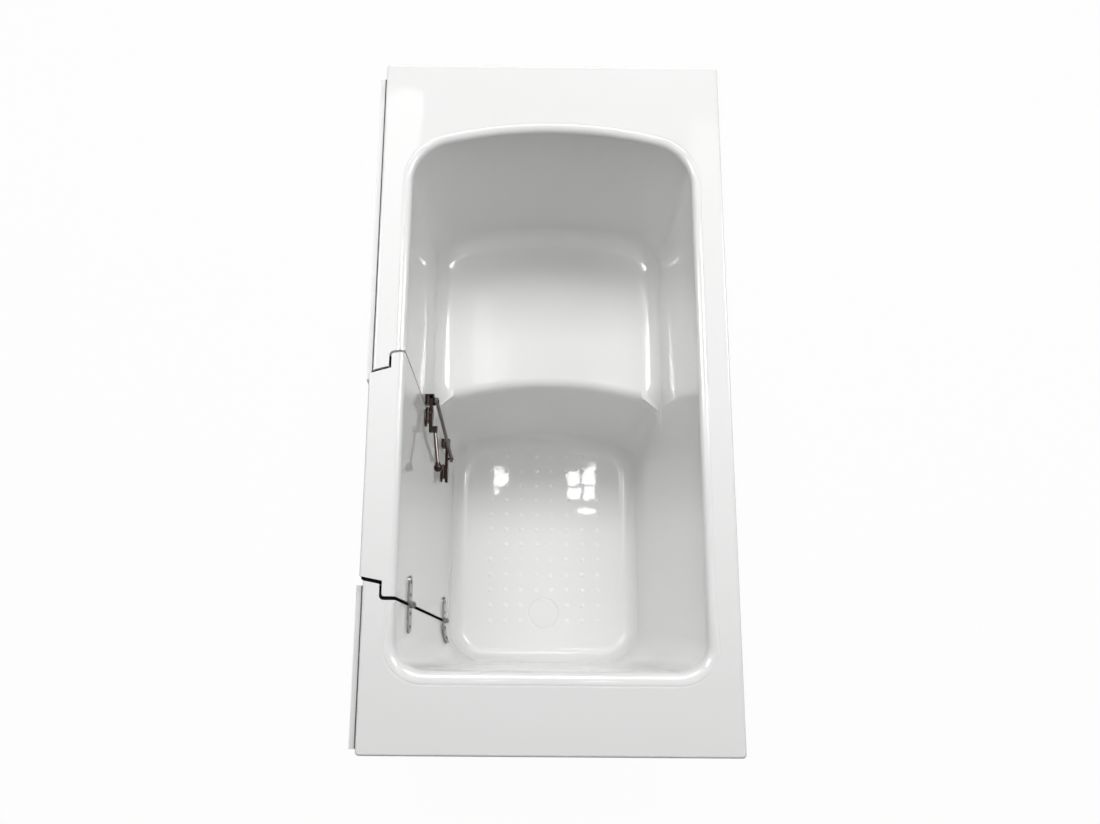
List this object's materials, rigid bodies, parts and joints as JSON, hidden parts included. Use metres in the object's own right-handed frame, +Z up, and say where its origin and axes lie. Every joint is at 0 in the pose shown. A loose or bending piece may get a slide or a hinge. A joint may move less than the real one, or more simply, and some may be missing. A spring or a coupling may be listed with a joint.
{
  "type": "walk-in bathtub with door",
  "caption": "Deep walk-in bathtub with a moulded seat, an inward-swinging side door held by a link-rod lever latch, a floor drain with a lifting cover, and a steel support frame.",
  "frame": {"origin": "on the ground under the middle of the whole object's outer box", "axes": "+Z up; +Y from the foot end with the drain to the head end with the seat; the door and the front panel are on the -X side"},
  "size_m": [0.7846, 1.524, 1.016],
  "materials": {
    "white_acrylic": "high-gloss moulded sanitary acrylic, white",
    "white_cap": "gloss white caps and drain cover",
    "plywood": "bonded board, unfinished",
    "frame_steel": "grey powder-coated welded steel tube",
    "zinc_steel": "bright zinc-plated steel",
    "stainless": "satin stainless steel",
    "dark_chrome": "dark polished chrome",
    "black_rubber": "matt black seal rubber",
    "grey_plastic": "light grey waste-pipe plastic"
  },
  "bodies": {
    "tub": {"tub_shell": "white_acrylic", "floor_board": "plywood", "seat_board": "plywood", "base_side_rails": "frame_steel", "base_cross_rails": "frame_steel", "corner_posts": "frame_steel", "rear_post": "frame_steel", "hinge_post": "frame_steel", "latch_post": "frame_steel", "sill_rail": "frame_steel", "rim_end_rails": "frame_steel", "rear_rim_rail": "frame_steel", "front_rim_rails": "frame_steel", "seat_legs": "frame_steel", "seat_rails": "frame_steel", "levelling_feet": "zinc_steel", "foot_lock_nuts": "zinc_steel", "front_panel": "white_acrylic", "panel_brackets": "zinc_steel", "panel_screws": "white_cap", "door_gasket": "black_rubber", "upper_hinge_tub_leaf": "stainless", "upper_hinge_pin": "stainless", "lower_hinge_tub_leaf": "stainless", "lower_hinge_pin": "stainless", "hinge_tub_screws": "stainless", "upper_keeper": "dark_chrome", "lower_keeper": "dark_chrome", "drain_body": "stainless", "drain_gasket": "black_rubber", "drain_nut": "grey_plastic", "waste_elbow": "grey_plastic"},
    "door": {"door_inner_shell": "white_acrylic", "door_outer_skin": "white_acrylic", "door_core_board": "plywood", "door_backing_plates": "zinc_steel", "upper_hinge_door_leaf": "stainless", "lower_hinge_door_leaf": "stainless", "hinge_door_screws": "stainless", "upper_latch_base": "dark_chrome", "lower_latch_base": "dark_chrome", "upper_latch_pivot": "stainless", "lower_latch_pivot": "stainless"},
    "upper_latch": {"upper_latch_cam": "dark_chrome", "latch_lever": "dark_chrome", "lever_knob": "dark_chrome"},
    "lower_latch": {"lower_latch_cam": "dark_chrome"},
    "link": {"link_rod": "dark_chrome"},
    "stopper": {"drain_cover": "white_cap"}
  },
  "joints": [
    {"name": "door_swing", "type": "hinge", "parent": "tub", "child": "door", "pos_m": [-0.28652, -0.4585, 0.85641], "axis": [0.0558, 0, -0.9984], "range_deg": [0, 90]},
    {"name": "latch_lever_turn", "type": "hinge", "parent": "door", "child": "upper_latch", "pos_m": [-0.28609, 0.003, 0.718], "axis": [0.9984, 0, 0.0558], "range_deg": [0, 65]},
    {"name": "lower_latch_turn", "type": "hinge", "parent": "door", "child": "lower_latch", "pos_m": [-0.26971, -0.074, 0.425], "axis": [0.9984, 0, 0.0558], "range_deg": [0, 65]},
    {"name": "link_pivot", "type": "hinge", "parent": "upper_latch", "child": "link", "pos_m": [-0.28609, 0.038, 0.718], "axis": [0.9984, 0, 0.0558], "range_deg": [-65, 0]},
    {"name": "drain_cover_lift", "type": "slide", "parent": "tub", "child": "stopper", "axis": [0, 0, 1], "range_m": [0, 0.008]}
  ],
  "couplings": [
    {"joint": "lower_latch_turn", "follows": "latch_lever_turn", "ratio": 1},
    {"joint": "link_pivot", "follows": "latch_lever_turn", "ratio": -1}
  ]
}
